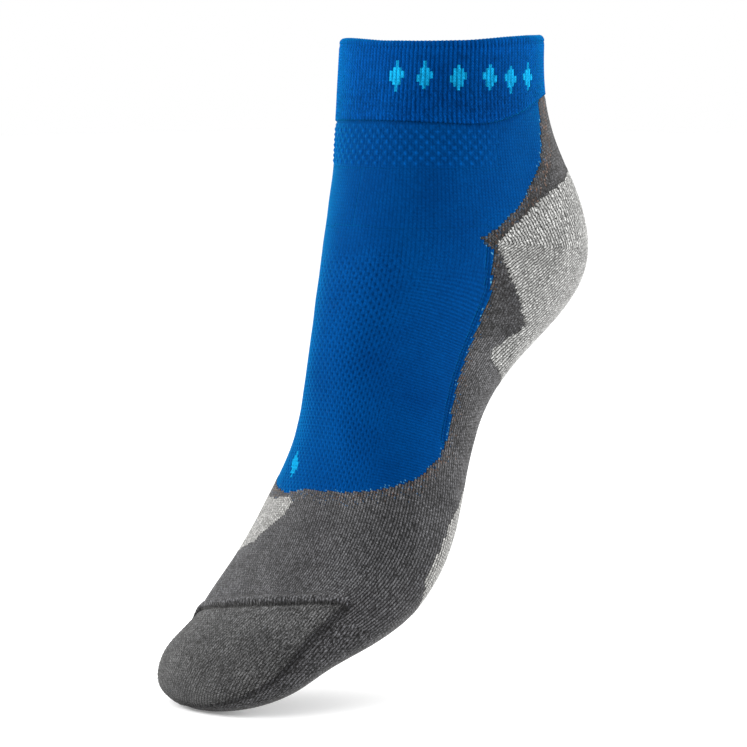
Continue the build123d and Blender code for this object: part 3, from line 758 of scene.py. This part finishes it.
class Graph:
    """A short way to add shader nodes and join them."""

    def __init__(self, name):
        self.material = bpy.data.materials.new(name)
        self.material.use_nodes = True
        self.tree = self.material.node_tree
        self.shader = self.tree.nodes["Principled BSDF"]

    def node(self, kind, inputs=None, **settings):
        made = self.tree.nodes.new(kind)
        for key, value in settings.items():
            setattr(made, key, value)
        for key, value in (inputs or {}).items():
            socket = made.inputs[key]
            if isinstance(value, bpy.types.NodeSocket):
                self.tree.links.new(value, socket)
            else:
                socket.default_value = value
        return made

    def maths(self, operation, a, b=0.0, c=0.0):
        return self.node("ShaderNodeMath", {0: a, 1: b, 2: c}, operation=operation).outputs[0]

    def wave(self, turns):
        """A cosine wave between 0 and 1."""
        cosine = self.maths("COSINE", self.maths("MULTIPLY", turns, 2 * math.pi))
        return self.maths("MULTIPLY_ADD", cosine, 0.5, 0.5)

    def attribute(self, name):
        return self.node("ShaderNodeAttribute", attribute_name=name).outputs["Fac"]

    def vector(self, x, y, z=0.0):
        return self.node("ShaderNodeCombineXYZ", {0: x, 1: y, 2: z}).outputs[0]

    def noise(self, vector, scale, detail=2.0, roughness=0.5):
        inputs = {"Vector": vector, "Scale": scale, "Detail": detail, "Roughness": roughness}
        return self.node("ShaderNodeTexNoise", inputs).outputs["Fac"]

    def ramp(self, value, stops):
        made = self.node("ShaderNodeValToRGB", {"Fac": value})
        elements = made.color_ramp.elements
        while len(elements) < len(stops):
            elements.new(0.5)
        for element, (place, colour) in zip(elements, stops):
            element.position = place
            element.color = (*colour, 1)
        return made.outputs["Color"]

    def spread(self, value, low, high, to_low=0.0, to_high=1.0):
        inputs = {"Value": value, "From Min": low, "From Max": high, "To Min": to_low, "To Max": to_high}
        return self.node("ShaderNodeMapRange", inputs).outputs["Result"]

    def mix(self, share, a, b, blend_type="MIX"):
        a, b = (colour if isinstance(colour, bpy.types.NodeSocket) else (*colour, 1) for colour in (a, b))
        inputs = {0: share, 6: a, 7: b}
        return self.node("ShaderNodeMix", inputs, data_type="RGBA", blend_type=blend_type).outputs[2]


def knit(
    name, dark, light, gap, depth, tint,
    sheen=0.3, gloss=0.2, rows=False, brown=None, pale=None, holes=(0.18, 0.8),
):
    """Knitted cloth between a dark and a light colour. gap is how dark the painted shade in the holes
    between stitches is.

    depth is the relief's in mm. holes are the stitch heights at which a hole is darkest and ends. brown and
    pale are the colours of specks.
    """
    g = Graph(name)
    uv = g.node("ShaderNodeUVMap", uv_map="Knit").outputs["UV"]
    split = g.node("ShaderNodeSeparateXYZ", {0: uv})
    wale, course = split.outputs[0], split.outputs[1]
    half = g.maths("MULTIPLY", g.maths("PINGPONG", wale, 0.5), 2.0)
    leg = g.maths("SINE", g.maths("MULTIPLY", half, math.pi * LEG_ROUNDNESS))
    along = g.maths("ADD", course, g.maths("MULTIPLY", half, LEG_LEAN))
    stitch = g.wave(along)
    height = g.maths("MULTIPLY", leg, g.maths("MULTIPLY_ADD", stitch, STITCH_DIP, STITCH_FLOOR))
    if rows:
        line = g.wave(course)
        height = g.maths("MULTIPLY_ADD", g.maths("SUBTRACT", line, height), g.attribute("rows"), height)

    place = g.node("ShaderNodeTexCoord").outputs["Object"]
    strands = g.vector(g.maths("MULTIPLY", wale, FIBRES_ACROSS), along)
    fibre = g.noise(strands, FIBRE_SCALE, FIBRE_DETAIL, FIBRE_ROUGHNESS)
    cloud = g.noise(place, CLOUD_SCALE)
    blend = g.maths("ADD", g.maths("MULTIPLY", fibre, FIBRE_SHARE), g.maths("MULTIPLY", cloud, CLOUD_SHARE))
    colour = g.ramp(blend, ((DARK_AT, dark), (LIGHT_AT, light)))
    for attribute, speck in (("brown", brown), ("pale", pale)):
        if speck:
            colour = g.mix(g.spread(g.attribute(attribute), *SPECK_EDGE), colour, speck)
    # Painted shade: the colour darkens where the stitch height is low, in the holes between stitches.
    shade = g.maths("MULTIPLY", g.spread(height, *holes, 1 - gap, 1.0), g.attribute("shade"))
    grey = g.node("ShaderNodeCombineColor", {0: shade, 1: shade, 2: shade}).outputs[0]
    g.tree.links.new(g.mix(1.0, colour, grey, "MULTIPLY"), g.shader.inputs["Base Color"])
    relief = g.maths("ADD", height, g.maths("MULTIPLY", g.noise(place, FUZZ_SCALE), FUZZ_HEIGHT))
    bump = g.node("ShaderNodeBump", {"Height": relief, "Strength": BUMP_STRENGTH, "Distance": depth * MM})
    g.tree.links.new(bump.outputs[0], g.shader.inputs["Normal"])
    g.tree.links.new(g.spread(fibre, *FIBRE_SPAN, *ROUGHNESS_SPAN), g.shader.inputs["Roughness"])
    g.shader.inputs["Sheen Weight"].default_value = sheen
    g.shader.inputs["Sheen Roughness"].default_value = SHEEN_ROUGHNESS
    g.shader.inputs["Sheen Tint"].default_value = (*tint, 1)
    g.shader.inputs["Specular IOR Level"].default_value = gloss
    g.shader.inputs["Specular Tint"].default_value = (*tint, 1)
    return g.material


def linear(red, green, blue):
    """A colour given as 0 to 255 screen values, as light."""
    screen = (red / 255, green / 255, blue / 255)
    return tuple(((c + 0.055) / 1.055) ** 2.4 if c > 0.04 else c / 12.92 for c in screen)


BROWN = linear(83, 62, 50)
STEEL = linear(25, 60, 90)
SKY = linear(70, 126, 156)
BLUE_TINT = linear(0, 150, 205)
WARM_WHITE = (1, 0.98, 0.95)
BLUE_DARK, BLUE_LIGHT = linear(1, 44, 98), linear(1, 61, 121)
CUFF_DARK, CUFF_LIGHT = linear(1, 43, 100), linear(1, 62, 126)
GREY_DARK, GREY_LIGHT = linear(33, 33, 36), linear(98, 98, 100)
DEEP_DARK, DEEP_LIGHT = linear(25, 26, 29), linear(76, 76, 78)
TOE_DARK, TOE_LIGHT = linear(40, 41, 43), linear(103, 103, 103)
TERRY_DARK, TERRY_LIGHT = linear(112, 113, 112), linear(172, 172, 170)
PAD_DARK, PAD_LIGHT = linear(134, 134, 132), linear(188, 187, 184)
CYAN_DARK, CYAN_LIGHT = linear(4, 112, 166), linear(20, 150, 196)


def make_materials():
    """Every yarn's material."""
    blue = {"tint": BLUE_TINT, "sheen": 0.95, "gloss": 0.02}
    melange = {"tint": WARM_WHITE, "sheen": 0.12, "brown": BROWN, "pale": STEEL}
    return {
        "cuff": knit("cuff_rib", CUFF_DARK, CUFF_LIGHT, 0.4, 0.25, **blue),
        "blue": knit("blue_knit", BLUE_DARK, BLUE_LIGHT, 0.26, 0.15, rows=True, pale=SKY, **blue),
        "cyan": knit("cyan_yarn", CYAN_DARK, CYAN_LIGHT, 0.45, 0.25, **blue),
        "grey": knit("grey_melange", GREY_DARK, GREY_LIGHT, 0.8, 0.3, **melange),
        "deep": knit("deep_grey_melange", DEEP_DARK, DEEP_LIGHT, 0.8, 0.3, **melange),
        "toe": knit("toe_melange", TOE_DARK, TOE_LIGHT, 0.75, 0.25, **melange),
        "light": knit("light_terry", TERRY_DARK, TERRY_LIGHT, 0.96, 0.35, WARM_WHITE, holes=(0.22, 0.74)),
        "pad": knit("pad_terry", PAD_DARK, PAD_LIGHT, 0.93, 0.35, WARM_WHITE, 0.2, holes=(0.22, 0.78)),
        "elastic": knit("elastic", CUFF_DARK, CUFF_LIGHT, 0.3, 0.1, **blue),
    }


# ======== pieces
def bend(piece):
    """Bakes a piece's transform into its mesh."""
    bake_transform(piece)


# cloth, material, slot, bend
MESH = ("blue", "blue", "blue_mesh", "ankle")
PLAIN = ("blue", "blue", "blue_plain", "ankle")
HEEL = ("heel", "light", "light_terry", "ankle")
STRIP = ("strip", "deep", "grey_melange", "ankle")
PAD = ("pad", "pad", "light_terry", "ball")
GREY = ("grey", "grey", "grey_melange", "ball")
GORE = ("toe", "deep", "grey_melange", "ball")
# zone: these, and the CAD nodes that it stands for if their names differ
ZONE_PLAN = {
    "mesh_band": (*MESH, "ankle_mesh_band"),
    "plain_band_outer": (*PLAIN, "ankle_side_outer", "ankle_flex_band"),
    "plain_band_inner": (*PLAIN, "ankle_side_inner"),
    "panel_edge_outer": PLAIN,
    "panel_edge_inner": PLAIN,
    "instep_mesh": (*MESH, "instep_mesh_panel", "ankle_flex_mesh"),
    "side_panel_outer": (*PLAIN, "side_panel_outer", "ankle_flex_outer"),
    "side_panel_inner": (*PLAIN, "side_panel_inner", "ankle_flex_inner"),
    "size_mark": ("blue", "cyan", "mark_yarn", "ankle"),
    "heel_gore_outer": HEEL,
    "heel_gore_inner": HEEL,
    "heel_upper": HEEL,
    "heel_lower": HEEL,
    "achilles_strip": STRIP,
    "ball_pad_inner": PAD,
    "ball_pad_outer": PAD,
    "ball_pad_sole": PAD,
    "side_guard_outer": STRIP,
    "side_guard_inner": STRIP,
    "arch_band": ("grey", "grey", "grey_melange", "ankle"),
    "toe_gore_outer": GORE,
    "toe_gore_inner": GORE,
    "toe_seam": ("toe", "grey", "grey_melange", "ball"),
    "toe_cap_top": ("toe", "toe", "grey_melange", "ball"),
    "toe_cap_bottom": ("toe", "grey", "grey_melange", "ball"),
    "toe_box_top": (*GREY, "toe_box_top", "toe_flex_top"),
    "toe_box_sole": (*GREY, "toe_box_sole", "toe_flex_sole"),
    "forefoot_top": GREY,
    "forefoot_sole": GREY,
}
CUFF_ZONES = ("cuff", "cuff_motif")


def finish_piece(piece, material, nodes):
    """Gives a piece its material, bakes its transform, and hides the CAD nodes that it stands for."""
    piece.data.materials.append(material)
    bend(piece)
    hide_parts(*nodes)
    return piece


def cells_of(*names):
    """Which cells of the grid belong to the named zones."""
    return np.isin(CELL_ZONE, [ZONE_NAMES.index(name) for name in names])


def make_zones(cloth_kinds, materials):
    """One shell for each knitted zone."""
    made = {}
    for name, (cloth, material, slot, where, *nodes) in ZONE_PLAN.items():
        piece = write_piece(name, [shell(cells_of(name), **cloth_kinds[cloth])])
        made[name] = finish_piece(piece, materials[material], nodes or [name])
    return made


def make_cuff(cloth_kinds, materials):
    """The cuff: an outer layer rolled over at the top, the inner layer, its marks, threads and seam."""
    cloth = cloth_kinds["cuff"]
    outer, both = cells_of("cuff"), cells_of(*CUFF_ZONES)
    outer[:FOLD_ROWS] = both[:FOLD_ROWS] = False
    under = {
        **cloth,
        "relief": np.full(X.shape, CUFF_LAYER - CUFF_WALL),
        "wall": CUFF_WALL - INNER_RIB * RIB_WAVE,
    }
    thread_rows = [int(np.argmin(np.abs(Z[:, 0] - height))) for height in ELASTIC_HEIGHTS]
    threads = [tube_along(path_round(row)[::THREAD_STEP], ELASTIC_RADIUS) for row in thread_rows]
    edge = tube_along(path_round(CUFF_ROWS - 1)[::EDGE_STEP], SEAM_RADIUS)
    plan = (
        ("cuff", [rolled_rim(cloth["relief"], cloth["fields"]), shell(outer, **cloth)], "cuff", "cuff_rib"),
        ("cuff_motif", [shell(cells_of("cuff_motif"), **cloth)], "cyan", "mark_yarn"),
        ("cuff_inner_layer", [shell(both, **under)], "cuff", "cuff_rib"),
        ("cuff_elastic_threads", threads, "elastic", "elastic"),
        ("cuff_turning_seam", [edge], "cuff", "cuff_rib"),
    )
    made = {}
    for name, parts, material, slot in plan:
        node = "cuff_outer_layer" if name == "cuff" else name
        made[name] = finish_piece(write_piece(name, parts), materials[material], [node])
    return made


def rolled_rim(relief, fields):
    """The rounded top of the cuff, from its outer face over to its inner one."""
    radius = CUFF_WALL / 2
    turns = np.linspace(0, math.pi, RIM_STEPS + 1)
    base, out = SKIN[FOLD_ROWS], OUT[FOLD_ROWS] * np.array((1, 1, 0))
    out /= np.linalg.norm(out, axis=1, keepdims=True)
    ribs = relief[FOLD_ROWS][:, None]
    rise = (SKIN[0, :, 2] - base[:, 2])[:, None]

    def face(depth, ribbed):
        rows = []
        for turn in turns:
            size = radius - depth + ribbed * ribs * (0.5 + 0.5 * math.cos(turn))
            lift = math.sin(turn) * (rise * (radius - depth) / radius + RIM_RIB * ribbed * ribs)
            rows.append(base + out * (size * math.cos(turn) - radius) + lift * np.array((0, 0, 1)))
        return np.array(rows).reshape(-1, 3)

    points = np.concatenate([face(0, 1), face(CUFF_LAYER, 0)])
    under = len(points) // 2
    column = np.arange(COLUMNS)
    right_column = (column + 1) % COLUMNS
    u = np.stack([column, column + 1, column + 1, column], 1) / RIB_COLUMNS
    course = radius * math.pi / RIM_STEPS / COURSE
    faces, uvs = [], []
    for k in range(RIM_STEPS):
        above, below = k * COLUMNS, (k + 1) * COLUMNS
        quad = np.stack([above + column, above + right_column, below + right_column, below + column], 1)
        v = FOLD_ROWS / ROWS_PER_COURSE - course * (k + np.array((0, 0, 1, 1)))
        uv = np.stack([u, np.broadcast_to(v, u.shape)], axis=2)
        faces += [quad[:, ::-1], quad + under]
        uvs += [uv[:, ::-1], uv]
    for k, turned in ((0, True), (RIM_STEPS, False)):
        a, b = k * COLUMNS + column, k * COLUMNS + right_column
        quad = np.stack([a, b, b + under, a + under], 1)
        faces.append(quad[:, ::-1] if turned else quad)
        uvs.append(np.stack([u, np.zeros_like(u)], axis=2))
    faces, uvs = np.concatenate(faces), np.concatenate(uvs)
    round_way = {key: np.tile(field[FOLD_ROWS], 2 * (RIM_STEPS + 1)) for key, field in fields.items()}
    return points, faces, uvs, np.zeros(len(faces), bool), round_way


def path_round(row):
    """A smooth closed path round the leg, halfway into the cuff."""
    path = SKIN[row] - OUT[row] * CUFF_WALL / 2
    return (np.roll(path, 2, axis=0) + path + np.roll(path, -2, axis=0)) / 3


def tube_along(path, radius, sides=8):
    """A closed round tube's points and faces, along a closed path."""
    ahead = np.roll(path, -1, axis=0) - np.roll(path, 1, axis=0)
    ahead /= np.linalg.norm(ahead, axis=1, keepdims=True)
    side = np.cross(ahead, np.array((0, 0, 1)))
    side /= np.linalg.norm(side, axis=1, keepdims=True)
    upward = np.cross(side, ahead)
    turn = 2 * math.pi * np.arange(sides) / sides
    points = path[:, None] + radius * (
        np.cos(turn)[None, :, None] * side[:, None] + np.sin(turn)[None, :, None] * upward[:, None]
    )
    i, j = np.meshgrid(np.arange(len(path)), np.arange(sides), indexing="ij")
    i1, j1 = (i + 1) % len(path), (j + 1) % sides
    quads = [i * sides + j, i * sides + j1, i1 * sides + j1, i1 * sides + j]
    faces = np.stack(quads, axis=-1).reshape(-1, 4)
    u = np.stack([j, j + 1, j + 1, j], -1) / sides
    v = np.stack([i, i, i + 1, i + 1], -1) * 0.5
    uv = np.stack([u, v], axis=-1).reshape(-1, 4, 2)
    points = points.reshape(-1, 3)
    none = np.zeros(len(points))
    fields = {"shade": none + 1, "brown": none, "pale": none, "rows": none}
    return points, faces, uv, np.zeros(len(faces), bool), fields


# ======== what each piece of cloth is
# zone: what it hangs from, and the small pieces that are part of it
SHEETS = {
    "cuff": (["cuff_inner_layer"], ["cuff_motif"]),
    "cuff_inner_layer": (["cuff"], ["cuff_elastic_threads", "cuff_turning_seam"]),
    "mesh_band": (["cuff"], []),
    "plain_band_outer": (["cuff", "mesh_band"], []),
    "plain_band_inner": (["cuff", "mesh_band"], []),
    "instep_mesh": (["plain_band_outer", "plain_band_inner"], ["size_mark"]),
    "side_panel_outer": (["instep_mesh"], ["panel_edge_outer"]),
    "side_panel_inner": (["instep_mesh"], ["panel_edge_inner"]),
    "achilles_strip": (["cuff"], []),
    "heel_upper": (["achilles_strip"], ["heel_gore_outer", "heel_gore_inner"]),
    "heel_lower": (["heel_upper"], []),
    "side_guard_outer": (["side_panel_outer", "heel_lower"], []),
    "side_guard_inner": (["side_panel_inner", "heel_lower"], []),
    "arch_band": (["side_panel_outer", "side_panel_inner", "heel_lower"], []),
    "forefoot_top": (["instep_mesh", "arch_band"], []),
    "forefoot_sole": (["arch_band"], []),
    "ball_pad_inner": (["forefoot_top"], []),
    "ball_pad_outer": (["forefoot_top"], []),
    "ball_pad_sole": (["forefoot_sole"], []),
    "toe_box_top": (["forefoot_top"], ["toe_seam"]),
    "toe_box_sole": (["forefoot_sole"], []),
    "toe_cap_top": (["toe_box_top"], ["toe_gore_outer", "toe_gore_inner"]),
    "toe_cap_bottom": (["toe_box_sole"], []),
}
WORN_STRETCH = 1.1
LEAST_SIDE = 10


def declare():
    """Works out each knitted zone's area, length and width as a sheet stretched over the foot to more than
    the area it is knitted at.
    """
    rows = np.linalg.norm(np.diff(SKIN, axis=0), axis=2)
    columns = np.linalg.norm(np.roll(SKIN, -1, axis=1) - SKIN, axis=2)[:-1]
    for name, (hangs_from, small) in SHEETS.items():
        cells = cells_of(*(CUFF_ZONES if name in ("cuff", "cuff_inner_layer") else (name,)))
        area = (rows * columns * cells).sum() / WORN_STRETCH
        length = (rows * cells).sum(axis=0).max()
        width = max((columns * cells).sum(axis=1).max() / WORN_STRETCH, LEAST_SIDE, area / length)
        length = max(length, LEAST_SIDE, area / width)


right, back = make_camera()
make_studio(right, back)
cloth_kinds, materials = cloths(), make_materials()
pieces = {**make_zones(cloth_kinds, materials), **make_cuff(cloth_kinds, materials)}
declare()
